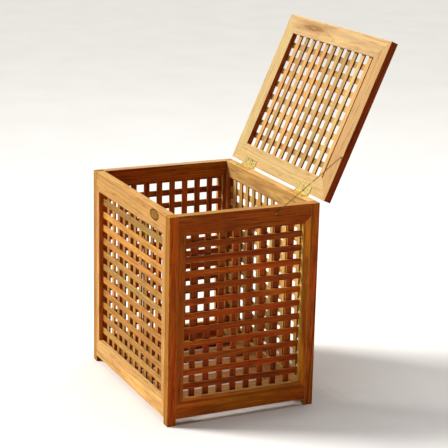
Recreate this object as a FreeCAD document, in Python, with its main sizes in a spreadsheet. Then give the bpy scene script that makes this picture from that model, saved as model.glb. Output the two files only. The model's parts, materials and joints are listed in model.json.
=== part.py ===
import FreeCAD, Part

# Teak laundry hamper with a hinged lattice lid, standing open against its chain.
#
# Millimetres. +X is right seen from the front, +Y is to the back, +Z is up. Z = 0 is the floor under the
# feet, and X = Y = 0 is the middle of the open hamper's bounding box, so the box stands forward of Y = 0.
#
# Four square posts carry four framed panels. Each panel, and the lid, holds two crossed layers of slats in
# a rebate. The lid's pieces are laid out with the lid shut and are then turned up about the hinge line.

import math
import os

import Sketcher
from FreeCAD import Placement, Rotation, Vector

SIZES = [
    ("body_width", 580, "over the posts, left to right"),
    ("body_depth", 454, "over the posts, front to back"),
    ("body_height", 600, "floor to the top of the rails"),
    ("post_side", 26, "square post"),
    ("foot_height", 20, "floor to the underside of the rails"),
    ("frame_thickness", 26, "rails and stiles, flush with the posts"),
    ("rail_height", 56, "top and bottom rails"),
    ("stile_width", 21, "stile beside each post"),
    ("slat_width", 18, "every lattice slat"),
    ("slat_thickness", 5, "every lattice slat"),
    ("setback", 12, "show face of a frame to its lattice"),
    ("lap", 10, "rebate beyond the window's edge"),
    ("end_gap", 0.5, "slat end to the rebate's wall"),
    ("level_slats", 11, "level slats in a panel"),
    ("upright_slats_wide", 11, "upright slats, front and rear"),
    ("upright_slats_narrow", 8, "upright slats, left and right"),
    ("lid_width", 594, "lid, left to right"),
    ("lid_depth", 478, "lid, hinge edge to free edge"),
    ("lid_thickness", 22, "lid frame"),
    ("lid_member", 56, "width of the lid's frame members"),
    ("lid_gap", 5, "shut lid above the rails"),
    ("lid_cross_slats", 8, "lid slats along the hinge"),
    ("lid_long_slats", 11, "lid slats from hinge to free edge"),
    ("opening_angle", 113.9, "shut to chained open, degrees"),
    ("floor_top", 45, "floor slats' upper face"),
    ("floor_slat_width", 58, "floor slat"),
    ("floor_slat_thickness", 12, "floor slat"),
    ("floor_slat_gap", 38, "between floor slats"),
    ("floor_slat_count", 5, "floor slats"),
    ("floor_clearance", 1, "floor slats and bearers to the frames"),
    ("bearer_width", 18, "ledge under the floor slats"),
    ("bearer_height", 13, "ledge under the floor slats"),
    ("dowel_radius", 4, "beech dowel"),
    ("dowel_length", 36, "dowel"),
    ("dowel_reach", 11, "dowel into each post"),
    ("dowel_from_edge", 14, "rail's outer edge to its dowels, front and rear"),
    ("dowel_stagger", 13, "further in for the left and right dowels"),
    ("hole_clearance", 0.05, "radial, dowel and screw holes"),
    ("hinge_length", 74, "butt hinge"),
    ("hinge_inset", 86, "lid's side edge to the hinge"),
    ("leaf_thickness", 2, "hinge leaf"),
    ("leaf_reach", 20, "leaf forward of the rear face"),
    ("knuckle_radius", 4, "hinge barrel"),
    ("knuckle_gap", 0.4, "between knuckles, and barrel to wood"),
    ("pin_radius", 1.75, "hinge pin"),
    ("pin_clearance", 0.05, "radial, pin in its knuckles"),
    ("screw_radius", 1.5, "hinge screw shank"),
    ("screw_head_radius", 3, "hinge screw head"),
    ("screw_length", 14, "hinge screw hole"),
    ("plate_half_width", 30, "oval plate, half its long axis"),
    ("plate_half_height", 15, "oval plate, half its short axis"),
    ("plate_thickness", 1.2, "oval plate"),
    ("plate_from_side", 106, "plate centre to the right face"),
    ("plate_from_top", 18, "plate centre to the rails' top"),
    ("wire_radius", 0.55, "chain wire"),
    ("link_width", 3.1, "chain link, between wire centres"),
    ("link_clearance", 0.1, "between neighbouring links"),
    ("link_count", 39, "links in the whole chain"),
    ("links_first", 16, "links in the run next to the side screw"),
    ("links_second", 5, "links in the run after it"),
    ("links_left_out", 1, "links left out before the third run, so that the runs can part"),
    ("chain_out", 2.4, "right face to the chain's middle plane"),
    ("chain_screw_back", 139, "rear face to the side screw"),
    ("chain_screw_down", 18, "rails' top to the side screw"),
    ("fixing_radius", 1.3, "threaded ends of the chain's screw and eye"),
    ("eye_from_edge", 130, "lid's hinge edge to the chain eye"),
    ("eye_drop", 2.6, "lid's underside to the eye's crossbar"),
]

doc = FreeCAD.newDocument("laundry_hamper")
sheet = doc.addObject("Spreadsheet::Sheet", "Sizes")
for row, (alias, number, note) in enumerate(SIZES, start=1):
    sheet.set(f"A{row}", alias)
    sheet.set(f"B{row}", str(number))
    sheet.set(f"C{row}", note)
    sheet.setAlias(f"B{row}", alias)
doc.recompute()


class Length:
    """A size worked out from the sheet: its value, and the expression that binds it."""

    def __init__(self, value, text):
        self.value = value
        self.text = text

    def joined(self, sign, other, value):
        return Length(value, f"({self.text} {sign} {text_of(other)})")

    def __add__(self, other):
        return self.joined("+", other, self.value + value_of(other))

    def __sub__(self, other):
        return self.joined("-", other, self.value - value_of(other))

    def __mul__(self, other):
        return self.joined("*", other, self.value * value_of(other))

    def __truediv__(self, other):
        return self.joined("/", other, self.value / value_of(other))


def value_of(size):
    return size.value if isinstance(size, Length) else float(size)


def text_of(size):
    return size.text if isinstance(size, Length) else str(size)


number_of = {alias: float(number) for alias, number, note in SIZES}


def cell(alias):
    """The sheet's size of that name."""
    return Length(number_of[alias], f"Sizes.{alias}")


def count(alias):
    return int(number_of[alias])


body_width = cell("body_width")
body_depth = cell("body_depth")
body_height = cell("body_height")
post_side = cell("post_side")
foot_height = cell("foot_height")
frame_thickness = cell("frame_thickness")
rail_height = cell("rail_height")
stile_width = cell("stile_width")
slat_width = cell("slat_width")
slat_thickness = cell("slat_thickness")
setback = cell("setback")
lap = cell("lap")
end_gap = cell("end_gap")
lid_width = cell("lid_width")
lid_depth = cell("lid_depth")
lid_thickness = cell("lid_thickness")
lid_member = cell("lid_member")
lid_gap = cell("lid_gap").value
dowel_radius = cell("dowel_radius")
dowel_length = cell("dowel_length")
hole_clearance = cell("hole_clearance")
hinge_length = cell("hinge_length")
leaf_thickness = cell("leaf_thickness")
leaf_reach = cell("leaf_reach")
knuckle_radius = cell("knuckle_radius")
knuckle_gap = cell("knuckle_gap")
screw_radius = cell("screw_radius")
screw_head_radius = cell("screw_head_radius")
screw_length = cell("screw_length")
fixing_radius = cell("fixing_radius")
eye_drop = cell("eye_drop").value
wire = cell("wire_radius").value

AXIS_X = Vector(1, 0, 0)
AXIS_Y = Vector(0, 1, 0)
AXIS_Z = Vector(0, 0, 1)
HALF_TURN = Rotation(AXIS_Z, 180)
ALONG_X = Rotation(AXIS_Y, 90)

# ---- where the box, the hinge line and the open lid stand ----

half_width = body_width.value / 2
half_depth = body_depth.value / 2
top = body_height.value
hinge_behind = knuckle_radius.value + knuckle_gap.value / 2
opening_angle = cell("opening_angle").value
opening = math.radians(opening_angle)
up_lid = Vector(0, -math.cos(opening), math.sin(opening))
off_lid = Vector(0, math.sin(opening), math.cos(opening))
lid_corner = up_lid * (hinge_behind + lid_depth.value) + off_lid * (lid_gap / 2 + lid_thickness.value)
front_most = -half_depth - cell("plate_thickness").value
rear_most = half_depth + hinge_behind + lid_corner.y
box_middle = -(front_most + rear_most) / 2
rear_face = box_middle + half_depth
hinge_point = Vector(0, rear_face + hinge_behind, top + lid_gap / 2)


def at(x, y, z, turn=Rotation()):
    return Placement(Vector(value_of(x), value_of(y), value_of(z)), turn)


OPEN_UP = (
    Placement(hinge_point, Rotation())
    * Placement(Vector(), Rotation(AXIS_X, -opening_angle))
    * Placement(hinge_point * -1, Rotation())
)
# the lid's own frame: X along the hinge, Y to the free edge, Z from the show face to the inside
LID_SHUT = at(-lid_width.value / 2, rear_face, top + lid_gap + lid_thickness.value, Rotation(AXIS_X, 180))
LID_OPEN = OPEN_UP * LID_SHUT

nodes = []


def node(piece, name, place=Placement()):
    """Name a finished piece, move it to its place and list it for export."""
    piece.Label = name
    piece.Placement = place * piece.Placement
    nodes.append(piece)
    return piece


def bind(piece, **sizes):
    for prop, size in sizes.items():
        piece.setExpression(prop, text_of(size))


def block(name, length, width, height, place=Placement()):
    box = doc.addObject("Part::Box", name)
    bind(box, Length=length, Width=width, Height=height)
    box.Placement = place
    return box


def rod(name, radius, height, place=Placement()):
    """A cylinder along the Z of its place."""
    cylinder = doc.addObject("Part::Cylinder", name)
    bind(cylinder, Radius=radius, Height=height)
    cylinder.Placement = place
    return cylinder


def middle_rod(name, radius, height, place):
    """A cylinder centred on its place."""
    return rod(name, radius, height, place * at(0, 0, -value_of(height) / 2))


def cone(name, lower, upper, height, place=Placement()):
    frustum = doc.addObject("Part::Cone", name)
    bind(frustum, Radius1=lower, Radius2=upper, Height=height)
    frustum.Placement = place
    return frustum


def group(name, members):
    compound = doc.addObject("Part::Compound", name)
    compound.Links = members
    return compound


def fused(name, members):
    fuse = doc.addObject("Part::MultiFuse", name)
    fuse.Shapes = members
    return fuse


def cut(name, base, tools):
    """The base with every tool taken away."""
    result = doc.addObject("Part::Cut", name)
    result.Base = base
    result.Tool = group(f"{name}_tools", tools)
    return result


# ---- framed pieces: an outline padded up from the XY plane, then rebated ----


def outline(body, name, corners):
    """A closed sketch on XY through corners given as sizes, each bound to the sheet."""
    sketch = body.newObject("Sketcher::SketchObject", name)
    plane = next(f for f in body.Origin.OriginFeatures if f.Role == "XY_Plane")
    sketch.AttachmentSupport = (plane, [""])
    sketch.MapMode = "FlatFace"
    points = [Vector(value_of(x), value_of(y), 0) for x, y in corners]
    for here, there in zip(points, points[1:] + points[:1]):
        sketch.addGeometry(Part.LineSegment(here, there), False)
    total = len(corners)
    for line in range(total):
        sketch.addConstraint(Sketcher.Constraint("Coincident", line, 2, (line + 1) % total, 1))
    for line, corner in enumerate(corners):
        for direction, cross_axis, size in zip(("DistanceX", "DistanceY"), (-2, -1), corner):
            if value_of(size) == 0:
                sketch.addConstraint(Sketcher.Constraint("PointOnObject", line, 1, cross_axis))
                continue
            placed = Sketcher.Constraint(direction, -1, 1, line, 1, value_of(size))
            index = sketch.addConstraint(placed)
            sketch.setExpression(f"Constraints[{index}]", text_of(size))
    return sketch


def pad(body, name, corners, height):
    feature = body.newObject("PartDesign::Pad", name)
    feature.Profile = outline(body, f"{name}_outline", corners)
    bind(feature, Length=height)
    doc.recompute()


def pocket(body, name, corners, depth):
    """Sink a pocket up from the XY plane into the pad, and prove that it cut."""
    before = body.Shape.Volume
    feature = body.newObject("PartDesign::Pocket", name)
    feature.Profile = outline(body, f"{name}_outline", corners)
    feature.Reversed = True
    bind(feature, Length=depth)
    doc.recompute()
    if body.Shape.Volume > before - 1:
        raise ValueError(f"{body.Name}: {name} cuts nothing")


def rectangle(x_low, y_low, x_high, y_high):
    return [(x_low, y_low), (x_high, y_low), (x_high, y_high), (x_low, y_high)]


def rebated(name, corners, thickness, rebate):
    """A frame member with its outline on XY and a rebate sunk from there, down to the setback."""
    body = doc.addObject("PartDesign::Body", name)
    pad(body, f"{name}_pad", corners, thickness)
    pocket(body, f"{name}_rebate", rebate, thickness - setback)
    return body


def make_rail(name, span):
    """A rail between posts: its far corners are cut at 45 degrees to meet the stiles."""
    shoulder = rail_height - stile_width
    corners = [
        (0, 0),
        (span, 0),
        (span, shoulder),
        (span - stile_width, rail_height),
        (stile_width, rail_height),
        (0, shoulder),
    ]
    inset = stile_width - lap
    rebate = rectangle(inset, rail_height - lap, span - inset, rail_height)
    return rebated(name, corners, frame_thickness, rebate)


def make_stile(name, window_height):
    """A stile with its post edge on Y and its ends cut at 45 degrees."""
    long_edge = window_height + stile_width * 2
    corners = [(0, 0), (stile_width, stile_width), (stile_width, long_edge - stile_width), (0, long_edge)]
    inset = stile_width - lap
    rebate = rectangle(inset, inset, stile_width, long_edge - inset)
    return rebated(name, corners, frame_thickness, rebate)


def make_lid_member(name, length):
    """A fully mitred member with its outer edge on X."""
    corners = [(0, 0), (length, 0), (length - lid_member, lid_member), (lid_member, lid_member)]
    inset = lid_member - lap
    rebate = rectangle(inset, inset, length - inset, lid_member)
    return rebated(name, corners, lid_thickness, rebate)


# ---- lattice slats ----


def slat_row(name, number, across, along, level, turned, place):
    """Evenly spaced slats as one piece. They lie along X, or along Y when turned."""
    gap = (across.value - number * slat_width.value) / (number + 1)
    length = along + lap * 2 - end_gap * 2
    end = end_gap.value - lap.value
    slats = []
    for i in range(number):
        offset = gap + i * (slat_width.value + gap)
        corner = (offset, end) if turned else (end, offset)
        sides = (slat_width, length) if turned else (length, slat_width)
        slats.append(block(f"{name}_{i + 1}", *sides, slat_thickness, at(*corner, level)))
    node(group(name, slats), name, place)


# ---- dowels and the screws that need holes ----


def dowel_hole(name, place):
    """A hole a little wider than the dowel, and longer by half a millimetre at each end."""
    return middle_rod(name, dowel_radius + hole_clearance, dowel_length + 1, place)


def make_dowels(name, places, place=Placement()):
    dowels = [middle_rod(f"{name}_{i + 1}", dowel_radius, dowel_length, p) for i, p in enumerate(places)]
    node(group(name, dowels), name, place)


hinge_left_ends = (
    cell("hinge_inset").value - lid_width.value / 2,
    lid_width.value / 2 - cell("hinge_inset").value - hinge_length.value,
)
leaf_middle = (leaf_reach.value - knuckle_gap.value) / 2
SCREW_SPOTS = ((0.16, 2), (0.5, -2), (0.84, 2))


def screw_places(left, height, turn):
    """Three screws of one leaf, in the usual shallow zigzag, with their heads up their own Z."""
    return [
        at(left + share * hinge_length.value, rear_face - leaf_middle + shift, height, turn)
        for share, shift in SCREW_SPOTS
    ]


def pilot_hole(name, place):
    """The hole one hinge screw goes into."""
    return rod(name, screw_radius + hole_clearance, screw_length, place * at(0, 0, -screw_length.value))


box_leaf_top = top + leaf_thickness.value
lid_leaf_low = top + lid_gap - leaf_thickness.value
UPSIDE_DOWN = Rotation(AXIS_X, 180)
box_screws = [p for x in hinge_left_ends for p in screw_places(x, box_leaf_top, Rotation())]
lid_screws = [p for x in hinge_left_ends for p in screw_places(x, lid_leaf_low, UPSIDE_DOWN)]

chain_x = half_width + cell("chain_out").value
side_screw = Vector(
    chain_x,
    rear_face - cell("chain_screw_back").value,
    top - cell("chain_screw_down").value,
)
SIDE_FIXING_DEPTH = 12
EYE_FIXING_DEPTH = 9
side_fixing = at(half_width - SIDE_FIXING_DEPTH, side_screw.y, side_screw.z, ALONG_X)
eye_y = rear_face - cell("eye_from_edge").value
eye_fixing = at(chain_x, eye_y, top + lid_gap)


def fixing_hole(name, depth, place):
    return rod(name, fixing_radius + hole_clearance, depth, place)


# ---- the four panels: X along the panel, Y up from the rails' underside, Z to the outside ----

panel_height = body_height - foot_height
window_height = panel_height - rail_height * 2
frame_dowels = []

PANELS = [
    ("front", 0, body_width, half_depth, "upright_slats_wide"),
    ("right", 90, body_depth, half_width, "upright_slats_narrow"),
    ("rear", 180, body_width, half_depth, "upright_slats_wide"),
    ("left", 270, body_depth, half_width, "upright_slats_narrow"),
]


def panel_place(yaw, face_distance, span):
    facing = at(0, box_middle, foot_height, Rotation(AXIS_Z, yaw))
    return facing * at(-span.value / 2, frame_thickness.value - face_distance, 0, Rotation(AXIS_X, 90))


def rail_dowels(yaw, span, from_top):
    """Dowel places at both ends of a rail. Neighbouring panels' dowels pass at different heights."""
    from_edge = cell("dowel_from_edge").value + (cell("dowel_stagger").value if yaw % 180 else 0)
    height = panel_height.value - from_edge if from_top else from_edge
    inwards = dowel_length.value / 2 - cell("dowel_reach").value
    middle = frame_thickness.value / 2
    return [at(x, height, middle, ALONG_X) for x in (inwards, span.value - inwards)]


def extra_holes(name, to_panel):
    """Holes for the screws that go into a rail: the hinges' and the chain's."""
    if name == "rear_top_rail":
        return [pilot_hole(f"{name}_pilot_{i}", to_panel * p) for i, p in enumerate(box_screws)]
    if name == "right_top_rail":
        return [fixing_hole(f"{name}_fixing", SIDE_FIXING_DEPTH, to_panel * side_fixing)]
    return []


def make_panel(side, yaw, width, face_distance, upright_alias):
    span = width - post_side * 2
    place = panel_place(yaw, face_distance, span)
    rail_spots = {"bottom": Placement(), "top": at(span, panel_height, 0, HALF_TURN)}
    for level, spot in rail_spots.items():
        name = f"{side}_{level}_rail"
        blank = make_rail(f"{name}_blank", span)
        blank.Placement = spot
        dowels = rail_dowels(yaw, span, from_top=level == "top")
        holes = [dowel_hole(f"{name}_hole_{i}", p) for i, p in enumerate(dowels)]
        node(cut(name, blank, holes + extra_holes(name, place.inverse())), name, place)
        frame_dowels.extend(place * p for p in dowels)
    stile_foot = rail_height.value - stile_width.value
    stile_spots = {
        "left": at(0, stile_foot, 0),
        "right": at(span, panel_height.value - stile_foot, 0, HALF_TURN),
    }
    for hand, spot in stile_spots.items():
        name = f"{side}_{hand}_stile"
        node(make_stile(name, window_height), name, place * spot)
    window_width = span - stile_width * 2
    corner = place * at(stile_width, rail_height, 0)
    show_level = frame_thickness.value - setback.value - slat_thickness.value
    back_level = show_level - slat_thickness.value
    levels = count("level_slats")
    uprights = count(upright_alias)
    slat_row(f"{side}_level_slats", levels, window_height, window_width, show_level, False, corner)
    slat_row(f"{side}_upright_slats", uprights, window_width, window_height, back_level, True, corner)


# ---- posts and floor ----


def make_posts():
    names = {
        (-1, -1): "front_left_post",
        (1, -1): "front_right_post",
        (1, 1): "rear_right_post",
        (-1, 1): "rear_left_post",
    }
    inset = post_side.value / 2
    near = dowel_length.value
    for (x_side, y_side), name in names.items():
        middle = Vector(x_side * (half_width - inset), box_middle + y_side * (half_depth - inset), 0)
        own = [p for p in frame_dowels if math.hypot(p.Base.x - middle.x, p.Base.y - middle.y) < near]
        blank = block(
            f"{name}_blank", post_side, post_side, body_height, at(middle.x - inset, middle.y - inset, 0)
        )
        node(cut(name, blank, [dowel_hole(f"{name}_hole_{i}", p) for i, p in enumerate(own)]), name)


def make_floor():
    """Slats that lie from front to back on two ledges fixed to the front and rear rails."""
    room = cell("floor_clearance")
    inner_front = box_middle - half_depth + frame_thickness.value
    inner_rear = box_middle + half_depth - frame_thickness.value
    width = cell("floor_slat_width")
    pitch = width.value + cell("floor_slat_gap").value
    number = count("floor_slat_count")
    slat_low = cell("floor_top").value - cell("floor_slat_thickness").value
    length = body_depth - frame_thickness * 2 - room * 2
    first = -(pitch * (number - 1) + width.value) / 2
    slats = [
        block(
            f"floor_slat_{i + 1}",
            width,
            length,
            cell("floor_slat_thickness"),
            at(first + i * pitch, inner_front + room.value, slat_low),
        )
        for i in range(number)
    ]
    node(group("floor_slats", slats), "floor_slats")
    bearer_width = cell("bearer_width")
    bearer_length = body_width - post_side * 2 - room * 2
    low = slat_low - cell("bearer_height").value
    for name, y in (("front_bearer", inner_front), ("rear_bearer", inner_rear - bearer_width.value)):
        bearer = block(name, bearer_length, bearer_width, cell("bearer_height"))
        node(bearer, name, at(-bearer_length.value / 2, y, low))


def make_plate():
    """A plain oval plate on the front top rail, towards the right."""
    blank = doc.addObject("Part::Ellipse", "plate_outline")
    bind(blank, MajorRadius=cell("plate_half_width"), MinorRadius=cell("plate_half_height"))
    plate = doc.addObject("Part::Extrusion", "oval_plate")
    plate.Base = blank
    plate.Dir = AXIS_Z
    plate.DirMode = "Custom"
    bind(plate, LengthFwd=cell("plate_thickness"))
    plate.Solid = True
    x = half_width - cell("plate_from_side").value
    z = top - cell("plate_from_top").value
    node(plate, "oval_plate", at(x, box_middle - half_depth, z, Rotation(AXIS_X, 90)))


# ---- butt hinges, drawn with the lid shut ----


def screw_head(name, place, spare=0):
    """A countersunk head whose face is flush with its leaf."""
    depth = leaf_thickness - 0.4
    lower = screw_radius + spare
    return cone(name, lower, screw_head_radius + spare, depth, place * at(0, 0, -depth.value))


def make_screws(name, places, place=Placement()):
    shank_length = screw_length - 1
    screws = []
    for i, spot in enumerate(places):
        shank = rod(f"{name}_shank_{i}", screw_radius, shank_length, spot * at(0, 0, -shank_length.value))
        screws.append(fused(f"{name}_{i}", [shank, screw_head(f"{name}_head_{i}", spot)]))
    node(group(name, screws), name, place)


def on_pin(x):
    return at(x, hinge_point.y, hinge_point.z, ALONG_X)


def make_leaf(name, left, low, thirds, screws, place):
    """A leaf with its screw holes, and a knuckle on each of the thirds of its length listed."""
    plate_depth = leaf_reach - knuckle_gap
    corner = at(left, rear_face - leaf_reach.value, low)
    plate = block(f"{name}_plate", hinge_length, plate_depth, leaf_thickness, corner)
    knuckle_length = hinge_length / 3 - knuckle_gap
    web_start = rear_face - 1.5
    web_depth = hinge_point.y - web_start - cell("pin_radius").value - 0.2
    solids = [plate]
    for third in thirds:
        x = left + third * hinge_length.value / 3 + knuckle_gap.value / 2
        solids.append(rod(f"{name}_knuckle_{third}", knuckle_radius, knuckle_length, on_pin(x)))
        solids.append(
            block(f"{name}_web_{third}", knuckle_length, web_depth, leaf_thickness, at(x, web_start, low))
        )
    bore_radius = cell("pin_radius") + cell("pin_clearance")
    tools = [rod(f"{name}_bore", bore_radius, hinge_length + 2, on_pin(left - 1))]
    for i, spot in enumerate(screws):
        tools.append(screw_head(f"{name}_sink_{i}", spot, hole_clearance))
        tools.append(middle_rod(f"{name}_hole_{i}", screw_radius + hole_clearance, leaf_thickness * 3, spot))
    node(cut(name, fused(f"{name}_solid", solids), tools), name, place)


def make_pin(name, left):
    """A pin through the three knuckles, with a low cap at each end."""
    cap_thickness = 0.8
    shaft = rod(f"{name}_shaft", cell("pin_radius"), hinge_length, on_pin(left))
    cap_ends = (left - cap_thickness, left + hinge_length.value)
    caps = [
        rod(f"{name}_cap_{i}", knuckle_radius - 1, cap_thickness, on_pin(x)) for i, x in enumerate(cap_ends)
    ]
    node(fused(name, [shaft, *caps]), name)


def make_hinges():
    per_leaf = len(SCREW_SPOTS)
    for i, (hand, left) in enumerate(zip(("left", "right"), hinge_left_ends)):
        own = slice(i * per_leaf, (i + 1) * per_leaf)
        make_leaf(f"{hand}_hinge_box_leaf", left, top, (0, 2), box_screws[own], Placement())
        make_leaf(f"{hand}_hinge_lid_leaf", left, lid_leaf_low, (1,), lid_screws[own], OPEN_UP)
        make_pin(f"{hand}_hinge_pin", left)
    make_screws("hinge_screws_box", box_screws)
    make_screws("hinge_screws_lid", lid_screws, OPEN_UP)


# ---- the lid ----


def lid_dowel_places():
    """One dowel square across each mitre, at half the lid's thickness, going round from the hinge's left."""
    inset = lid_member.value / 2
    middle = lid_thickness.value / 2
    right = lid_width.value - inset
    far = lid_depth.value - inset
    spots = [(inset, inset, 135), (right, inset, 45), (right, far, 135), (inset, far, 45)]
    return [at(x, y, middle, Rotation(AXIS_Z, yaw) * ALONG_X) for x, y, yaw in spots]


def make_lid():
    dowels = lid_dowel_places()
    members = [
        ("lid_hinge_rail", lid_width, Placement(), (0, 1)),
        ("lid_right_stile", lid_depth, at(lid_width, 0, 0, Rotation(AXIS_Z, 90)), (1, 2)),
        ("lid_free_rail", lid_width, at(lid_width, lid_depth, 0, HALF_TURN), (2, 3)),
        ("lid_left_stile", lid_depth, at(0, lid_depth, 0, Rotation(AXIS_Z, 270)), (3, 0)),
    ]
    to_lid = LID_SHUT.inverse()
    holes = {
        "lid_hinge_rail": [
            pilot_hole(f"lid_hinge_rail_pilot_{i}", to_lid * p) for i, p in enumerate(lid_screws)
        ],
        "lid_right_stile": [fixing_hole("lid_right_stile_fixing", EYE_FIXING_DEPTH, to_lid * eye_fixing)],
    }
    for name, length, spot, corners in members:
        blank = make_lid_member(f"{name}_blank", length)
        blank.Placement = spot
        bores = [dowel_hole(f"{name}_hole_{i}", dowels[i]) for i in corners]
        node(cut(name, blank, bores + holes.get(name, [])), name, LID_OPEN)
    make_dowels("lid_corner_dowels", dowels, LID_OPEN)
    corner = LID_OPEN * at(lid_member, lid_member, 0)
    window_x = lid_width - lid_member * 2
    window_y = lid_depth - lid_member * 2
    cross = count("lid_cross_slats")
    long = count("lid_long_slats")
    slat_row("lid_cross_slats", cross, window_y, window_x, 0, False, corner)
    slat_row("lid_long_slats", long, window_x, window_y, slat_thickness, True, corner)


# ---- the chain: three runs of links from the screw in the right face to the eye under the lid ----

eye_bar = OPEN_UP.multVec(Vector(chain_x, eye_y, top + lid_gap - eye_drop))
chain_line = eye_bar - side_screw
crown_overlap = 2 * wire + cell("link_clearance").value
link_pitch = (chain_line.Length + crown_overlap) / count("link_count")
link_length = link_pitch + crown_overlap


def link_shape():
    """A stadium of round wire about the origin in the XY plane, its length along X."""
    half = cell("link_width").value / 2
    straight = link_length / 2 - half
    right = Vector(straight, 0, 0)
    left = Vector(-straight, 0, 0)
    up = Vector(0, half, 0)
    out = Vector(half, 0, 0)
    path = Part.Wire(
        [
            Part.LineSegment(left + up, right + up).toShape(),
            Part.Arc(right + up, right + out, right - up).toShape(),
            Part.LineSegment(right - up, left - up).toShape(),
            Part.Arc(left - up, left - out, left + up).toShape(),
        ]
    )
    section = Part.Wire([Part.Circle(left + up, AXIS_X, wire).toShape()])
    ring = path.makePipeShell([section], True, True)
    wanted = math.pi * wire**2 * path.Length
    if abs(ring.Volume - wanted) > 0.01 * wanted:
        raise ValueError(f"a link holds {ring.Volume} where its wire holds {wanted}")
    return ring


def chain_run(name, first, last, link):
    """Links first to last - 1. Every other link is turned a quarter about the chain."""
    step = chain_line * (1 / chain_line.Length)
    slope = math.degrees(math.atan2(chain_line.z, chain_line.y))
    laid = Rotation(AXIS_X, slope) * Rotation(AXIS_Z, 90)
    links = []
    for i in range(first, last):
        centre = side_screw + step * (link_pitch * (i + 0.5) - crown_overlap / 2)
        roll = Rotation(AXIS_X, 0 if i % 2 else 90)
        turned = link.copy()
        turned.Placement = Placement(centre, laid * roll)
        links.append(turned)
    run = doc.addObject("Part::Feature", name)
    run.Shape = Part.Compound(links)
    node(run, name)


def make_side_screw():
    """A round-headed screw in the right top rail, whose bare neck carries the first link."""
    neck_length = cell("chain_out").value + 1.2
    head_thickness = 1.2
    y = side_screw.y
    z = side_screw.z
    neck = rod("side_neck", wire, neck_length, at(half_width, y, z, ALONG_X))
    head = cone("side_head", 2.6, 1.6, head_thickness, at(half_width + neck_length, y, z, ALONG_X))
    thread = rod("side_thread", fixing_radius, SIDE_FIXING_DEPTH - 1, side_fixing * at(0, 0, 1))
    node(fused("chain_side_screw", [neck, head, thread]), "chain_side_screw")


def make_lid_eye():
    """A small round plate with a staple under it, screwed up into the lid's right stile."""
    plate_thickness = 0.6
    half_bar = cell("link_width").value / 2
    bar_z = top + lid_gap - eye_drop
    plate = rod("eye_plate", 3.4, plate_thickness, eye_fixing * at(0, 0, -plate_thickness))
    thread = rod("eye_thread", fixing_radius, EYE_FIXING_DEPTH - 1, eye_fixing)
    bar = rod("eye_bar", wire, 2 * half_bar, at(chain_x - half_bar, eye_y, bar_z, ALONG_X))
    legs = [
        rod(f"eye_leg_{i}", wire, eye_drop - plate_thickness / 2, at(x, eye_y, bar_z))
        for i, x in enumerate((chain_x - half_bar, chain_x + half_bar))
    ]
    node(fused("chain_lid_eye", [plate, thread, bar, *legs]), "chain_lid_eye", OPEN_UP)


def make_chain():
    link = link_shape()
    second = count("links_first")
    third = second + count("links_second")
    chain_run("chain_lower_run", 0, second, link)
    chain_run("chain_middle_run", second, third, link)
    chain_run("chain_upper_run", third + count("links_left_out"), count("link_count"), link)
    make_side_screw()
    make_lid_eye()


for panel in PANELS:
    make_panel(*panel)
make_posts()
make_dowels("frame_dowels", frame_dowels)
make_floor()
make_plate()
make_lid()
make_hinges()
make_chain()
doc.recompute()

# ---- check every object, then export each piece ----

for item in doc.Objects:
    bad = [state for state in item.State if state in ("Invalid", "Error")]
    if bad:
        raise ValueError(f"{item.Label}: {bad}")
for piece in nodes:
    if piece.Shape.isNull() or not piece.Shape.isValid():
        raise ValueError(f"{piece.Label}: its shape is empty or not valid")

os.makedirs("parts", exist_ok=True)
for piece in nodes:
    piece.Shape.exportStep(f"parts/{piece.Label}.step")

second_pivot = side_screw + chain_line * (link_pitch * count("links_first") / chain_line.Length)
print(f"{len(nodes)} pieces, box middle y {box_middle:.4f}, rear face y {rear_face:.4f}")
print(f"hinge axis y {hinge_point.y:.4f} z {hinge_point.z:.4f}")
print(f"side screw {side_screw}, eye bar {eye_bar}, second chain pivot {second_pivot}")
print(f"link pitch {link_pitch:.4f}, link length {link_length:.4f}")
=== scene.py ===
import json
import math
import random

import bmesh
import bpy
from mathutils import Matrix, Vector


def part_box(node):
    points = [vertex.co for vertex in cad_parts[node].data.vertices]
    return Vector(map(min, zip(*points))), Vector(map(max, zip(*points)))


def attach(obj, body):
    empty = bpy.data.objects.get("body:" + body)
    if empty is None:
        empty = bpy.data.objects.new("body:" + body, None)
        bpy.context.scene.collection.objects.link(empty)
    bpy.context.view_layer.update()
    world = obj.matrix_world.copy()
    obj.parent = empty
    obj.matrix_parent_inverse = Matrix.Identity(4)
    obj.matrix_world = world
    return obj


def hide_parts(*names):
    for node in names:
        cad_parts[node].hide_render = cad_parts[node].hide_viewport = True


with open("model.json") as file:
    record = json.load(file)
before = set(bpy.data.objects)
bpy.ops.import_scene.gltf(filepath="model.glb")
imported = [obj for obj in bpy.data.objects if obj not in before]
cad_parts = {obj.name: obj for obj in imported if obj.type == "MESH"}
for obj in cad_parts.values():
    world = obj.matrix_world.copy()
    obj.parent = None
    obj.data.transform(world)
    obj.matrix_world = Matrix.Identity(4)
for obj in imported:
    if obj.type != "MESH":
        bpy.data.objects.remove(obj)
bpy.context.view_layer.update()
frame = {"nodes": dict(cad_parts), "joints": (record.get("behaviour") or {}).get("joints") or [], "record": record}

MM = 0.001

# ---- where things are: the same sizes as the CAD, in millimetres ----

POST = 26
FOOT = 20
TOP = 600
WIDTH = 580
DEPTH = 454
FRAME_THICKNESS = 26
RAIL = 56
STILE = 21
SLAT = 18
SLAT_THICKNESS = 5
SETBACK = 12
LAP = 10
END_GAP = 0.5
LID_WIDTH = 594
LID_DEPTH = 478
LID_THICKNESS = 22
LID_MEMBER = 56
LID_GAP = 5

post_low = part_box("front_left_post")[0]
post_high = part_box("rear_right_post")[1]
middle = (post_low + post_high) / 2
box_middle = middle.y / MM
rear_face = box_middle + DEPTH / 2
hinge = next(j for j in frame["joints"] if j["name"] == "lid_hinge")
hinge_point = Vector(hinge["pos_m"]) / MM
open_angle = math.radians(hinge["range_deg"][1])


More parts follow.
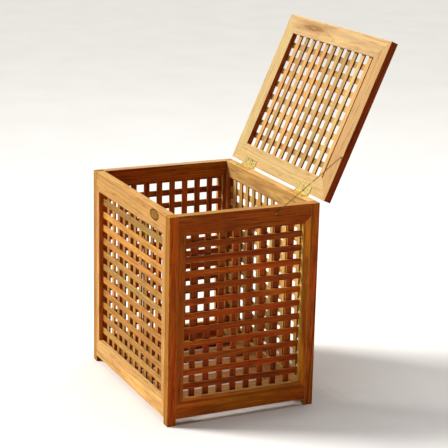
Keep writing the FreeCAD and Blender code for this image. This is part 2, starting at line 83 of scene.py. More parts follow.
def move(x, y, z):
    return Matrix.Translation((x, y, z))


def turn(degrees, axis):
    return Matrix.Rotation(math.radians(degrees), 4, axis)


LID_SHUT = move(-LID_WIDTH / 2, rear_face, TOP + LID_GAP + LID_THICKNESS) @ turn(180, "X")
OPEN_UP = (
    Matrix.Translation(hinge_point)
    @ Matrix.Rotation(-open_angle, 4, "X")
    @ Matrix.Translation(-hinge_point)
)
LID_OPEN = OPEN_UP @ LID_SHUT

# ---- camera ----

CAMERA_AZIMUTH = math.radians(64.51)
CAMERA_ELEVATION = math.radians(15.45)
CAMERA_ROLL = math.radians(1.33)
CAMERA_DISTANCE = 4.3967
CAMERA_OFFSET = (0.06829, 0.17848)
FOCAL_SHARE = 1496.12 / 448

back = Vector(
    (
        math.sin(CAMERA_AZIMUTH) * math.cos(CAMERA_ELEVATION),
        -math.cos(CAMERA_AZIMUTH) * math.cos(CAMERA_ELEVATION),
        math.sin(CAMERA_ELEVATION),
    )
)
level = Vector((math.cos(CAMERA_AZIMUTH), math.sin(CAMERA_AZIMUTH), 0))
rise = back.cross(level)
right = level * math.cos(CAMERA_ROLL) + rise * math.sin(CAMERA_ROLL)
up = rise * math.cos(CAMERA_ROLL) - level * math.sin(CAMERA_ROLL)
camera_data = bpy.data.cameras.new("camera")
camera = bpy.data.objects.new("camera", camera_data)
bpy.context.scene.collection.objects.link(camera)
place = middle + right * CAMERA_OFFSET[0] + up * CAMERA_OFFSET[1] + back * CAMERA_DISTANCE
camera.matrix_world = Matrix.Translation(place) @ Matrix((right, up, back)).transposed().to_4x4()
camera_data.lens = FOCAL_SHARE * camera_data.sensor_width
camera_data.clip_end = 200
bpy.context.scene.camera = camera

# ---- shader helpers ----


class Shader:
    """A material and short ways to add nodes to it."""

    def __init__(self, name):
        self.material = bpy.data.materials.new(name)
        self.material.use_nodes = True
        self.tree = self.material.node_tree
        self.tree.nodes.clear()
        self.output = self.tree.nodes.new("ShaderNodeOutputMaterial")
        self.surface = self.tree.nodes.new("ShaderNodeBsdfPrincipled")
        self.tree.links.new(self.surface.outputs[0], self.output.inputs["Surface"])

    def put(self, socket, value):
        if isinstance(value, bpy.types.NodeSocket):
            self.tree.links.new(value, socket)
        elif value is not None:
            socket.default_value = value

    def node(self, kind, inputs=(), **settings):
        made = self.tree.nodes.new(kind)
        for key, value in settings.items():
            setattr(made, key, value)
        for key, value in dict(inputs).items():
            self.put(made.inputs[key], value)
        return made

    def set(self, **values):
        for key, value in values.items():
            self.put(self.surface.inputs[key.replace("_", " ")], value)

    def math(self, operation, first, second=None, third=None):
        made = self.node("ShaderNodeMath", operation=operation)
        for socket, value in zip(made.inputs, (first, second, third)):
            self.put(socket, value)
        return made.outputs[0]

    def vector(self, operation, first, second=None, scale=None):
        made = self.node("ShaderNodeVectorMath", operation=operation)
        self.put(made.inputs[0], first)
        self.put(made.inputs[1], second)
        if scale is not None:
            self.put(made.inputs["Scale"], scale)
        return made.outputs[1 if operation == "LENGTH" else 0]

    def attribute(self, name):
        return self.node("ShaderNodeAttribute", attribute_name=name).outputs["Vector"]

    def split(self, vector):
        return self.node("ShaderNodeSeparateXYZ", {"Vector": vector}).outputs

    def join(self, x, y, z):
        return self.node("ShaderNodeCombineXYZ", {"X": x, "Y": y, "Z": z}).outputs[0]

    def drawn_out(self, parts, along, across):
        """Coordinates for a pattern that is longer along the board than across it."""
        scales = (along, across, across)
        return self.join(*(self.math("MULTIPLY", part, scale) for part, scale in zip(parts, scales)))

    def noise(self, vector, scale, detail=2.0, roughness=0.5):
        inputs = {"Vector": vector, "Scale": scale, "Detail": detail, "Roughness": roughness}
        return self.node("ShaderNodeTexNoise", inputs).outputs["Fac"]

    def noise_line(self, position, detail=2.0, roughness=0.5):
        inputs = {"W": position, "Scale": 1.0, "Detail": detail, "Roughness": roughness}
        return self.node("ShaderNodeTexNoise", inputs, noise_dimensions="1D").outputs["Fac"]

    def ramp(self, factor, stops):
        made = self.node("ShaderNodeValToRGB", {"Fac": factor})
        band = made.color_ramp
        while len(band.elements) < len(stops):
            band.elements.new(0.5)
        for element, (position, colour) in zip(band.elements, stops):
            element.position = position
            element.color = (*colour, 1)
        return made.outputs["Color"]

    def span(self, value, low, high, to_low=0.0, to_high=1.0):
        """The value from low to high, mapped and clamped to another range."""
        inputs = {"Value": value, "From Min": low, "From Max": high, "To Min": to_low, "To Max": to_high}
        return self.node("ShaderNodeMapRange", inputs).outputs[0]

    def mix(self, factor, first, second, blend="MIX"):
        made = self.node("ShaderNodeMix", data_type="RGBA", blend_type=blend)
        self.put(made.inputs[0], factor)
        self.put(made.inputs[6], first)
        self.put(made.inputs[7], second)
        return made.outputs[2]

    def bump(self, height, strength, distance):
        inputs = {"Height": height, "Strength": strength, "Distance": distance}
        return self.node("ShaderNodeBump", inputs).outputs[0]


# ---- timber ----


def make_teak(name, knot=None):
    """Oiled teak. Each board brings its grain frame, seed, tone and kind as attributes of its mesh.

    Kind holds how far a face is end grain, eased edge and drawn pale as painted light. Tone also carries painted
    shade, set by the way each face points.
    """
    s = Shader(name)
    grain = s.attribute("grain")
    seed = s.attribute("seed")
    tone = s.attribute("tone")
    end_grain, arris, painted_light = s.split(s.attribute("kind"))
    seeds = s.split(seed)
    here = s.vector("ADD", grain, s.vector("SCALE", seed, scale=40.0))
    x, y, z = s.split(here)
    own = s.split(grain)

    # slow wander of the fibres along the board
    wander = s.noise(s.drawn_out((x, y, z), 2.6, 9.0), 1.0)
    sway = s.math("MULTIPLY", s.math("SUBTRACT", wander, 0.5), 0.010)

    # growth rings about a pith that lies off the board, tapering along it
    ring_y = s.math("ADD", own[1], s.math("MULTIPLY", s.math("SUBTRACT", seeds[0], 0.5), 0.12))
    ring_z = s.math("ADD", own[2], s.math("MULTIPLY_ADD", seeds[1], 0.07, 0.02))
    radius = s.vector("LENGTH", s.join(ring_y, ring_z, 0.0))
    taper = s.math("MULTIPLY", own[0], s.math("MULTIPLY", s.math("SUBTRACT", seeds[2], 0.5), 0.06))
    radius = s.math("ADD", s.math("ADD", radius, taper), sway)
    ring_phase = s.math("MULTIPLY", seeds[2], 90.0)
    rings = s.noise_line(s.math("MULTIPLY_ADD", radius, 270.0, ring_phase), 3.0, 0.55)

    # streaks of colour and fibres, drawn out along the board
    swayed = (x, s.math("ADD", y, sway), z)
    streak = s.noise(s.drawn_out(swayed, 1.8, 62.0), 1.0, 3.0, 0.6)
    fibre = s.noise(s.drawn_out(swayed, 14.0, 620.0), 1.0, 3.0, 0.65)
    cloud = s.noise(s.vector("MULTIPLY", here, (5.0, 16.0, 16.0)), 1.0, 2.0)
    pores = s.noise(s.drawn_out(swayed, 55.0, 1500.0), 1.0, 1.0)
    pore = s.span(pores, 0.62, 0.72)

    mixed = s.math("ADD", s.math("MULTIPLY", rings, 0.55), s.math("MULTIPLY", streak, 0.45))
    mixed = s.math("ADD", mixed, s.math("MULTIPLY", s.math("SUBTRACT", fibre, 0.5), 0.34))
    colour = s.ramp(
        mixed,
        [
            (0.34, (0.205, 0.066, 0.013)),
            (0.43, (0.400, 0.172, 0.040)),
            (0.53, (0.535, 0.272, 0.078)),
            (0.66, (0.680, 0.400, 0.150)),
        ],
    )
    colour = s.mix(s.span(cloud, 0.50, 0.76, 0.0, 0.6), colour, (0.44, 0.155, 0.032, 1))
    colour = s.mix(s.span(streak, 0.56, 0.70, 0.0, 0.62), colour, (0.22, 0.075, 0.016, 1))
    colour = s.mix(s.math("MULTIPLY", pore, 0.35), colour, (0.11, 0.035, 0.01, 1))

    # the hue drifts along a board between red and golden
    drift = s.noise(s.vector("MULTIPLY", here, (3.2, 11.0, 11.0)), 1.0, 2.0)
    drift = s.mix(s.span(drift, 0.40, 0.62), (1.10, 0.86, 0.72, 1), (1.00, 1.07, 0.92, 1))
    drifted = s.mix(1.0, colour, drift, "MULTIPLY")
    colour = s.mix(s.math("SUBTRACT", 1.0, painted_light), colour, drifted)

    # old oil lies in smudges where no painted light is laid
    stain = s.noise(s.vector("MULTIPLY", here, (8.0, 26.0, 26.0)), 1.0, 4.0, 0.6)
    stain = s.math("MULTIPLY", s.span(stain, 0.50, 0.70, 0.0, 0.62), s.math("SUBTRACT", 1.0, painted_light))
    colour = s.mix(stain, colour, (0.20, 0.066, 0.014, 1))

    # faces with painted light are drawn pale, with pink patches and short darker streaks
    colour = s.mix(s.math("MULTIPLY", painted_light, 0.66), colour, (0.74, 0.50, 0.275, 1))
    blush = s.noise(s.vector("MULTIPLY", here, (7.0, 34.0, 34.0)), 1.0, 3.0, 0.6)
    blush = s.math("MULTIPLY", s.span(blush, 0.50, 0.66, 0.0, 0.45), painted_light)
    colour = s.mix(blush, colour, (0.66, 0.33, 0.17, 1))
    dash = s.noise(s.drawn_out(swayed, 15.0, 150.0), 1.0, 3.0, 0.6)
    dash_colour = s.mix(painted_light, (0.15, 0.050, 0.011, 1), (0.44, 0.22, 0.09, 1))
    colour = s.mix(s.span(dash, 0.52, 0.68, 0.0, 0.62), colour, dash_colour)
    if knot is not None:
        # an eye of darker figure, drawn out along the board
        centre, size = knot
        away = s.vector("SUBTRACT", grain, centre)
        away = s.vector("MULTIPLY", away, size)
        waver = s.math("MULTIPLY", s.math("SUBTRACT", streak, 0.5), 1.2)
        away = s.math("ADD", s.vector("LENGTH", away), waver)
        swirl = s.noise_line(s.math("MULTIPLY", away, 5.0), 2.0)
        figure = s.math("MULTIPLY", s.span(away, 1.1, 0.15), s.span(swirl, 0.3, 0.7, 0.45, 1.0))
        colour = s.mix(s.math("MULTIPLY", figure, 0.9), colour, (0.20, 0.06, 0.018, 1))

    colour = s.mix(1.0, colour, tone, "MULTIPLY")

    # end grain is darker, and eased edges are paler in places
    end_pattern = s.noise(s.vector("SCALE", here, scale=900.0), 1.0, 2.0)
    end_colour = s.mix(s.span(end_pattern, 0.3, 0.7, 0.35, 0.75), colour, (0.12, 0.04, 0.012, 1))
    colour = s.mix(s.math("MULTIPLY", end_grain, 0.75), colour, end_colour)
    rub = s.noise(s.vector("SCALE", here, scale=60.0), 1.0, 2.0)
    rubbed = s.math("MULTIPLY", arris, s.span(rub, 0.35, 0.7, 0.05, 0.45))
    colour = s.mix(rubbed, colour, (0.72, 0.47, 0.22, 1))

    roughness = s.math("ADD", s.span(fibre, 0.3, 0.7, 0.46, 0.6), s.math("MULTIPLY", end_grain, 0.15))
    relief = s.math("SUBTRACT", s.math("MULTIPLY", fibre, 0.6), s.math("MULTIPLY", pore, 0.8))
    relief = s.math("ADD", relief, s.math("MULTIPLY", rings, 0.5))
    s.set(Base_Color=colour, Roughness=roughness, Normal=s.bump(relief, 0.35, 0.0006))
    s.surface.inputs["Specular IOR Level"].default_value = 0.06
    return s.material


teak = make_teak("teak")

# the tint of a fully red board; each board takes a random share of it
REDDEST = (1.22, 0.72, 0.40)
# painted light and shade: shares of red, green and blue, chosen by the way a face points in the object's own
# frame; faces turned to +X, and the box's faces turned to +Y, get darker, redder painted shade
PLAIN = (0.98, 0.98, 0.80)
SIDE_PAINTED_SHADE = (0.94, 0.45, 0.12)
LID_EDGE_PAINTED_SHADE = (0.72, 0.235, 0.02)
CORNER_FRONT = (0.67, 0.61, 0.35)
REARWARD_PAINTED_SHADE = (1.00, 0.79, 0.60)
# painted light: how much paler a face is drawn, 0 is oiled, 1 is pale; the lid, upward faces and the box's front
# faces get it
LID_PAINTED_LIGHT = 0.8
UPWARD_PAINTED_LIGHT = 0.7
FRONT_PAINTED_LIGHT = 0.35
# the least a unit normal has to point level, upwards or along the grain to count as doing so
LEVELWARD = 0.7
UPWARDS = 0.8
ALONG_GRAIN = 0.85
# tints of single nodes; the darker, redder tints of the right panel's top rail, left stile and slats, of the rear
# right post and of the floor slats are partly painted shade
TINTS = {
    "rear_top_rail": (1.00, 1.14, 1.15),
    "rear_level_slats": (1.00, 1.30, 1.30),
    "rear_upright_slats": (1.00, 1.30, 1.30),
    "right_top_rail": (0.70, 0.60, 0.46),
    "right_left_stile": (0.66, 0.68, 0.52),
    "right_right_stile": (1.12, 1.36, 0.78),
    "right_bottom_rail": (1.00, 1.15, 1.05),
    "left_level_slats": (0.80, 0.90, 1.20),
    "left_upright_slats": (0.80, 0.90, 1.20),
    "left_top_rail": (0.80, 0.90, 1.20),
    "rear_right_post": (0.90, 0.78, 0.66),
    "front_right_post": (0.88, 0.76, 0.18),
    "front_left_post": (0.74, 0.70, 0.48),
    "front_top_rail": (0.94, 0.94, 0.88),
    "front_bottom_rail": (1.02, 1.12, 1.15),
    "floor_slats": (0.62, 0.55, 0.55),
    "right_level_slats": (0.75, 0.59, 0.36),
    "right_upright_slats": (0.60, 0.48, 0.36),
    "front_level_slats": (0.73, 0.75, 0.56),
    "front_upright_slats": (0.69, 0.71, 0.52),
    "lid_left_stile": (0.80, 1.02, 1.22),
    "lid_right_stile": (0.68, 0.73, 0.82),
    "lid_hinge_rail": (0.88, 1.08, 1.25),
    "lid_cross_slats": (0.66, 0.78, 0.80),
    "lid_long_slats": (0.70, 0.82, 0.86),
}
LID_TINT = (0.84, 0.95, 1.12)
# eased edges, in millimetres
BEVEL = 0.9
SLAT_BEVEL = 0.7
POST_BEVEL = 1.1
# how much the boards of one node differ in tone
FRAME_SPREAD = 0.1
SPREAD = 0.3
SLAT_SPREAD = 0.35


class Timber:
    """Boards gathered into one piece. Each keeps its own grain frame, seed, tone and kind."""

    def __init__(self, name, node, body, material=None):
        self.name = name
        self.node = node
        self.body = body
        self.material = material or teak
        self.random = random.Random(node)
        self.vertices = []
        self.grain = []
        self.faces = []
        self.smooth = []
        self.seed = []
        self.tone = []
        self.kind = []

    def add(self, board, place, spread=SPREAD, bevel=BEVEL):
        """Ease a board's edges, note what each face is, and put it in its place."""
        bmesh.ops.dissolve_limit(
            board, angle_limit=math.radians(1), verts=board.verts[:], edges=board.edges[:]
        )
        bmesh.ops.recalc_face_normals(board, faces=board.faces[:])
        sharp = [e for e in board.edges if e.calc_face_angle(0) > math.radians(20)]
        eased = bmesh.ops.bevel(
            board, geom=sharp, offset=bevel, offset_type="OFFSET", segments=2, profile=0.5,
            affect="EDGES", clamp_overlap=True,
        )["faces"]
        eased = set(eased)
        board.verts.index_update()
        board.normal_update()
        start = len(self.vertices)
        seed = [self.random.random() for _ in range(3)]
        light = 2 ** self.random.uniform(-spread, spread)
        red = self.random.uniform(0, 1.4 * spread)
        tint = TINTS.get(self.node, LID_TINT if self.body == "lid" else (1, 1, 1))
        board_tone = [light * part * (1 + red * (full - 1)) for part, full in zip(tint, REDDEST)]
        for vertex in board.verts:
            self.vertices.append(place @ vertex.co * MM)
            self.grain.append(vertex.co * MM)
        for face in board.faces:
            self.faces.append([start + v.index for v in face.verts])
            edge = face in eased
            facing = place.to_3x3() @ face.normal
            # painted light and shade: by the way a face points it is drawn paler (the lid, upward faces, the box's
            # front faces) or darker and redder (faces turned to +X, and the box's faces turned to +Y)
            painted_light_share = LID_PAINTED_LIGHT if self.body == "lid" else 0.0
            painted_shade_share = PLAIN
            if facing.x > LEVELWARD:
                painted_shade_share = LID_EDGE_PAINTED_SHADE if self.body == "lid" else SIDE_PAINTED_SHADE
                painted_light_share = 0.0
            elif facing.z > UPWARDS:
                painted_light_share = UPWARD_PAINTED_LIGHT
            elif self.body == "box" and facing.y < -LEVELWARD:
                painted_light_share = FRONT_PAINTED_LIGHT
                painted_shade_share = CORNER_FRONT if self.node == "front_right_post" else PLAIN
            elif self.body == "box" and facing.y > LEVELWARD:
                painted_shade_share = REARWARD_PAINTED_SHADE
            tone = [part * share for part, share in zip(board_tone, painted_shade_share)]
            self.smooth.append(edge)
            self.seed.append(seed)
            self.tone.append(tone)
            end_grain = abs(face.normal.x) > ALONG_GRAIN and not edge
            self.kind.append((float(end_grain), float(edge), painted_light_share))
        board.free()

    def finish(self):
        mesh = bpy.data.meshes.new(self.name)
        mesh.from_pydata(self.vertices, [], self.faces)
        mesh.polygons.foreach_set("use_smooth", self.smooth)
        for name, domain, values in (
            ("grain", "POINT", self.grain),
            ("seed", "FACE", self.seed),
            ("tone", "FACE", self.tone),
            ("kind", "FACE", self.kind),
        ):
            layer = mesh.attributes.new(name, "FLOAT_VECTOR", domain)
            layer.data.foreach_set("vector", [number for value in values for number in value])
        mesh.materials.append(self.material)
        mesh.update()
        piece = bpy.data.objects.new(self.name, mesh)
        bpy.context.scene.collection.objects.link(piece)
        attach(piece, self.body)
        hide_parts(self.node)
        return piece


def prism(outline, low, high):
    board = bmesh.new()
    lower = [board.verts.new((x, y, low)) for x, y in outline]
    upper = [board.verts.new((x, y, high)) for x, y in outline]
    board.faces.new(lower[::-1])
    board.faces.new(upper)
    for i in range(len(outline)):
        j = (i + 1) % len(outline)
        board.faces.new((lower[i], lower[j], upper[j], upper[i]))
    return board


def bar(length, width, thickness):
    return prism([(0, 0), (length, 0), (length, width), (0, width)], 0, thickness)


def rebated(length, width, mitre, thickness):
    """A member with its outer edge on X. Its ends are cut at 45 degrees over the last mitre of its width,
    and a rebate runs along its inner edge, from the XY plane up to the shoulder."""
    board = bmesh.new()
    shoulder = thickness - SETBACK
    square = width - mitre
    inner = mitre - LAP
    ring = [(0, 0), (length, 0)]
    if square:
        ring.append((length, square))
    right_cut = len(ring)
    ring += [(length - inner, width - LAP), (length - mitre, width), (mitre, width), (inner, width - LAP)]
    left_cut = len(ring) - 1
    if square:
        ring.append((0, square))
    total = len(ring)
    window = {right_cut + 1, right_cut + 2}
    low = {i: board.verts.new((*ring[i], 0)) for i in range(total) if i not in window}
    step = {i: board.verts.new((*ring[i], shoulder)) for i in range(right_cut, left_cut + 1)}
    high = {i: board.verts.new((*ring[i], thickness)) for i in range(total)}
    board.faces.new([low[i] for i in sorted(low, reverse=True)])
    board.faces.new([high[i] for i in range(total)])
    board.faces.new([step[i] for i in (right_cut, left_cut, left_cut - 1, right_cut + 1)])
    board.faces.new((low[right_cut], low[left_cut], step[left_cut], step[right_cut]))
    for i in range(total):
        j = (i + 1) % total
        if right_cut <= i < left_cut:
            board.faces.new((step[i], step[j], high[j], high[i]))
            continue
        wall = [low[i], low[j]]
        if j == right_cut:
            wall.append(step[j])
        wall += [high[j], high[i]]
        if i == left_cut:
            wall.append(step[i])
        board.faces.new(wall)
    return board


def slat_row(name, body, number, across, along, level, turned, place):
    gap = (across - number * SLAT) / (number + 1)
    length = along + 2 * LAP - 2 * END_GAP
    timber = Timber(f"{name}_boards", name, body)
    for i in range(number):
        offset = gap + i * (SLAT + gap)
        if turned:
            spot = move(offset + SLAT, END_GAP - LAP, level) @ turn(90, "Z")
        else:
            spot = move(END_GAP - LAP, offset, level)
        timber.add(bar(length, SLAT, SLAT_THICKNESS), place @ spot, SLAT_SPREAD, SLAT_BEVEL)
    return timber.finish()


LEVEL_SLATS = 11
# side, yaw, width, distance of the face from the middle, upright slats
PANELS = (
    ("front", 0, WIDTH, DEPTH / 2, 11),
    ("right", 90, DEPTH, WIDTH / 2, 8),
    ("rear", 180, WIDTH, DEPTH / 2, 11),
    ("left", 270, DEPTH, WIDTH / 2, 8),
)
panel_height = TOP - FOOT
window_height = panel_height - 2 * RAIL
for side, yaw, width, face_distance, uprights in PANELS:
    span = width - 2 * POST
    panel = (
        move(0, box_middle, FOOT)
        @ turn(yaw, "Z")
        @ move(-span / 2, FRAME_THICKNESS - face_distance, 0)
        @ turn(90, "X")
    )
    spots = {"bottom": Matrix.Identity(4), "top": move(span, panel_height, 0) @ turn(180, "Z")}
    for height, spot in spots.items():
        node = f"{side}_{height}_rail"
        timber = Timber(f"{node}_board", node, "box")
        timber.add(rebated(span, RAIL, STILE, FRAME_THICKNESS), panel @ spot, FRAME_SPREAD)
        timber.finish()
    foot = RAIL - STILE
    spots = {
        "left": move(0, panel_height - foot, 0) @ turn(270, "Z"),
        "right": move(span, foot, 0) @ turn(90, "Z"),
    }
    for hand, spot in spots.items():
        node = f"{side}_{hand}_stile"
        timber = Timber(f"{node}_board", node, "box")
        stile = rebated(window_height + 2 * STILE, STILE, STILE, FRAME_THICKNESS)
        timber.add(stile, panel @ spot, FRAME_SPREAD)
        timber.finish()
    corner = panel @ move(STILE, RAIL, 0)
    show = FRAME_THICKNESS - SETBACK - SLAT_THICKNESS
    window_width = span - 2 * STILE
    slat_row(f"{side}_level_slats", "box", LEVEL_SLATS, window_height, window_width, show, False, corner)
    slat_row(
        f"{side}_upright_slats", "box", uprights, window_width, window_height, show - SLAT_THICKNESS,
        True, corner,
    )

for x_side, x_name in ((-1, "left"), (1, "right")):
    for y_side, y_name in ((-1, "front"), (1, "rear")):
        node = f"{y_name}_{x_name}_post"
        timber = Timber(f"{node}_board", node, "box")
        x = x_side * (WIDTH - POST) / 2
        y = box_middle + y_side * (DEPTH - POST) / 2
        spot = move(x + POST / 2, y - POST / 2, 0) @ turn(-90, "Y")
        timber.add(bar(TOP, POST, POST), spot, FRAME_SPREAD, POST_BEVEL)
        timber.finish()

FLOOR_SLATS = 5
FLOOR_SLAT = 58
FLOOR_SLAT_THICKNESS = 12
FLOOR_GAP = 38
FLOOR_TOP = 45
FLOOR_CLEARANCE = 1
inner_front = box_middle - DEPTH / 2 + POST
inner_rear = box_middle + DEPTH / 2 - POST
timber = Timber("floor_slats_boards", "floor_slats", "box")
for i in range(FLOOR_SLATS):
    x = (i - FLOOR_SLATS // 2) * (FLOOR_SLAT + FLOOR_GAP) + FLOOR_SLAT / 2
    spot = move(x, inner_front + FLOOR_CLEARANCE, FLOOR_TOP - FLOOR_SLAT_THICKNESS) @ turn(90, "Z")
    length = inner_rear - inner_front - 2 * FLOOR_CLEARANCE
    timber.add(bar(length, FLOOR_SLAT, FLOOR_SLAT_THICKNESS), spot)
timber.finish()
BEARER_WIDTH = 18
BEARER_HEIGHT = 13
for node, y in (("front_bearer", inner_front), ("rear_bearer", inner_rear - BEARER_WIDTH)):
    timber = Timber(f"{node}_board", node, "box")
    length = WIDTH - 2 * POST - 2 * FLOOR_CLEARANCE
    spot = move(-length / 2, y, FLOOR_TOP - FLOOR_SLAT_THICKNESS - BEARER_HEIGHT)
    timber.add(bar(length, BEARER_WIDTH, BEARER_HEIGHT), spot)
    timber.finish()

# the knot's centre along and across the rail in metres, and how tightly it is drawn in each direction
KNOT = (Vector((0.430, 0.024, 0.020)), Vector((9.0, 55.0, 40.0)))
lid_members = (
    ("lid_hinge_rail", LID_WIDTH, Matrix.Identity(4)),
    ("lid_right_stile", LID_DEPTH, move(LID_WIDTH, 0, 0) @ turn(90, "Z")),
    ("lid_free_rail", LID_WIDTH, move(LID_WIDTH, LID_DEPTH, 0) @ turn(180, "Z")),
    ("lid_left_stile", LID_DEPTH, move(0, LID_DEPTH, 0) @ turn(270, "Z")),
)
for node, length, spot in lid_members:
    material = make_teak("teak_knotted", KNOT) if node == "lid_free_rail" else teak
    timber = Timber(f"{node}_board", node, "lid", material)
    member = rebated(length, LID_MEMBER, LID_MEMBER, LID_THICKNESS)
    timber.add(member, LID_OPEN @ spot, FRAME_SPREAD)
    timber.finish()
corner = LID_OPEN @ move(LID_MEMBER, LID_MEMBER, 0)
CROSS_SLATS = 8
LONG_SLATS = 11
window_x = LID_WIDTH - 2 * LID_MEMBER
window_y = LID_DEPTH - 2 * LID_MEMBER
slat_row("lid_cross_slats", "lid", CROSS_SLATS, window_y, window_x, 0, False, corner)
slat_row("lid_long_slats", "lid", LONG_SLATS, window_x, window_y, SLAT_THICKNESS, True, corner)

# ---- metal, and the plain wood of the hidden dowels ----


def make_metal(name, bright, dull, roughness, scale, wear, rim=None):
    """A metal whose tarnish gathers in patches. Its rim, where the mesh marks one, can be darker."""
    s = Shader(name)
    place = s.node("ShaderNodeTexCoord").outputs["Object"]
    patches = s.noise(place, scale, 4.0, 0.6)
    scratches = s.noise(s.vector("MULTIPLY", place, (4.0, 1.0, 1.0)), scale * 18, 2.0)
    colour = s.mix(s.span(patches, 0.42, 0.72, 0.0, wear), (*bright, 1), (*dull, 1))
    if rim is not None:
        colour = s.mix(s.attribute("rim"), colour, (*rim, 1))
    tarnished = s.span(patches, 0.3, 0.75, roughness, roughness + 0.22)
    rough = s.math("ADD", tarnished, s.span(scratches, 0.3, 0.7, -0.05, 0.05))
    s.set(Base_Color=colour, Roughness=rough, Normal=s.bump(scratches, 0.15, 0.0002))
    s.surface.inputs["Metallic"].default_value = 1.0
    return s.material


brass = make_metal("brass", (0.88, 0.70, 0.26), (0.46, 0.29, 0.09), 0.27, 90.0, 0.7)
dull_brass = make_metal("dull_brass", (0.31, 0.18, 0.05), (0.06, 0.032, 0.008), 0.42, 160.0, 0.95)
bronze_rim = (0.06, 0.02, 0.004)
bronze = make_metal("bronze", (0.38, 0.17, 0.008), (0.12, 0.045, 0.004), 0.5, 120.0, 0.8, bronze_rim)


def make_beech():
    s = Shader("beech")
    place = s.node("ShaderNodeTexCoord").outputs["Object"]
    flecks = s.noise(s.vector("SCALE", place, scale=420.0), 1.0, 3.0)
    colour = s.ramp(flecks, [(0.35, (0.60, 0.40, 0.23)), (0.65, (0.74, 0.55, 0.36))])
    s.set(Base_Color=colour, Roughness=s.span(flecks, 0.3, 0.7, 0.55, 0.7))
    return s.material


beech = make_beech()
screw_brass = make_metal("screw_brass", (0.50, 0.34, 0.12), (0.16, 0.10, 0.03), 0.38, 260.0, 0.9)
METALS = {"brass": brass, "dull_brass": dull_brass, "bronze": bronze, "beech": beech}
slots = {part["node"]: part["material_slot"] for part in frame["record"]["subparts"]}
for name, item in frame["nodes"].items():
    material = screw_brass if name.startswith("hinge_screws") else METALS.get(slots[name], teak)
    item.data.materials.clear()
    item.data.materials.append(material)

# ---- the oval plate: a plain sunk field inside a rounded rim ----


def oval_plate():
    low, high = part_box("oval_plate")
    centre = (low + high) / 2
    half_width, half_height = (high.x - low.x) / 2, (high.z - low.z) / 2
    back, front = high.y, low.y
    thickness = back - front
    rim = 2.6 * MM
    # rings from the back's edge round the rim to the middle: inset from the outline, height above the back
    rings = [(0.0, 0.0), (0.0, 0.55), (0.2 * rim, 0.88), (0.5 * rim, 1.0), (0.8 * rim, 0.88), (rim, 0.60)]
    rings += [(rim + 0.6 * MM, 0.52), (rim + 3 * MM, 0.56), (rim + 7 * MM, 0.62)]
    count = 96  # points round each ring
    mesh = bmesh.new()
    loops = []
    for inset, height in rings:
        loop = []
        for i in range(count):
            angle = 2 * math.pi * i / count
            across = (half_width - inset) * math.cos(angle)
            along = (half_height - inset) * math.sin(angle)
            loop.append(mesh.verts.new((centre.x + across, back - thickness * height, centre.z + along)))
        loops.append(loop)
    for outer, inner in zip(loops, loops[1:]):
        for i in range(count):
            j = (i + 1) % count
            mesh.faces.new((outer[i], outer[j], inner[j], inner[i]))
    mesh.faces.new(loops[-1])
    mesh.faces.new(loops[0][::-1])
    bmesh.ops.recalc_face_normals(mesh, faces=mesh.faces[:])
    for face in mesh.faces:
        face.smooth = len(face.verts) == 4
    data = bpy.data.meshes.new("plain_oval_plate")
    mesh.to_mesh(data)
    rim_rings = sum(inset <= rim for inset, height in rings)
    marks = data.attributes.new("rim", "FLOAT", "POINT")
    marks.data.foreach_set("value", [float(i < rim_rings * count) for i in range(len(data.vertices))])
    mesh.free()
    data.materials.append(bronze)
    piece = bpy.data.objects.new("plain_oval_plate", data)
    bpy.context.scene.collection.objects.link(piece)
    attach(piece, "box")
    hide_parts("oval_plate")


oval_plate()

# ---- floor, light and air ----


def make_floor():
    s = Shader("pale_floor")
    place = s.node("ShaderNodeTexCoord").outputs["Object"]
    cloud = s.noise(place, 3.0, 3.0)
    colour = s.ramp(cloud, [(0.3, (0.80, 0.80, 0.80)), (0.7, (0.83, 0.83, 0.83))])
    s.set(Base_Color=colour, Roughness=s.span(cloud, 0.3, 0.7, 0.8, 0.9))
    s.surface.inputs["Specular IOR Level"].default_value = 0.1
    return s.material


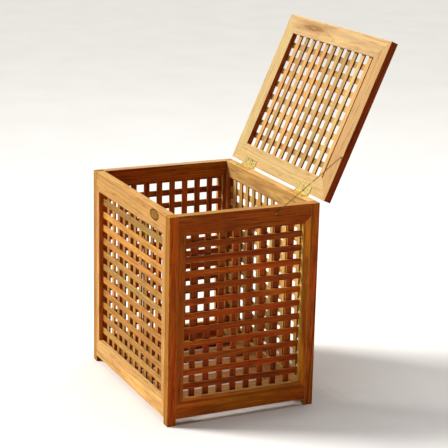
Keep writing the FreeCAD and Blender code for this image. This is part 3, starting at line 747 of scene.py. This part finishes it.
floor_mesh = bpy.data.meshes.new("floor")
FLOOR_REACH = 60  # metres from the middle to the floor's edge
corners = [(x * FLOOR_REACH, y * FLOOR_REACH, 0) for x, y in ((-1, -1), (1, -1), (1, 1), (-1, 1))]
floor_mesh.from_pydata(corners, [], [(0, 1, 2, 3)])
floor_mesh.materials.append(make_floor())
floor = bpy.data.objects.new("floor", floor_mesh)
bpy.context.scene.collection.objects.link(floor)


def sun(name, towards_light, strength, softness, colour):
    data = bpy.data.lights.new(name, "SUN")
    data.energy = strength
    data.angle = math.radians(softness)
    data.color = colour
    lamp = bpy.data.objects.new(name, data)
    lamp.rotation_euler = Vector(towards_light).to_track_quat("Z", "Y").to_euler()
    bpy.context.scene.collection.objects.link(lamp)


def softbox(name, place, target, size, power, colour):
    data = bpy.data.lights.new(name, "AREA")
    data.shape = "SQUARE"
    data.size = size
    data.energy = power
    data.color = colour
    lamp = bpy.data.objects.new(name, data)
    lamp.location = place
    lamp.rotation_euler = (Vector(place) - Vector(target)).to_track_quat("Z", "Y").to_euler()
    bpy.context.scene.collection.objects.link(lamp)


sun("key", (-0.46, -0.66, 0.60), 4.7, 18.0, (1.0, 0.97, 0.92))
softbox("overhead", (-0.3, 0.5, 4.0), (0, 0, 0.5), 3.5, 110, (1.0, 0.98, 0.95))

world = bpy.data.worlds.new("studio")
bpy.context.scene.world = world
world.use_nodes = True
air = world.node_tree
air.nodes.clear()
air_output = air.nodes.new("ShaderNodeOutputWorld")
seen = air.nodes.new("ShaderNodeBackground")
lit = air.nodes.new("ShaderNodeBackground")
choose = air.nodes.new("ShaderNodeMixShader")
path = air.nodes.new("ShaderNodeLightPath")
lit.inputs["Color"].default_value = (1.0, 0.90, 0.78, 1)
lit.inputs["Strength"].default_value = 0.10
seen.inputs["Color"].default_value = (1.0, 1.0, 1.0, 1)
seen.inputs["Strength"].default_value = 1.0
air.links.new(path.outputs["Is Camera Ray"], choose.inputs[0])
air.links.new(lit.outputs[0], choose.inputs[1])
air.links.new(seen.outputs[0], choose.inputs[2])
air.links.new(choose.outputs[0], air_output.inputs["Surface"])

bpy.context.scene.view_settings.view_transform = "Standard"
bpy.context.scene.view_settings.look = "None"
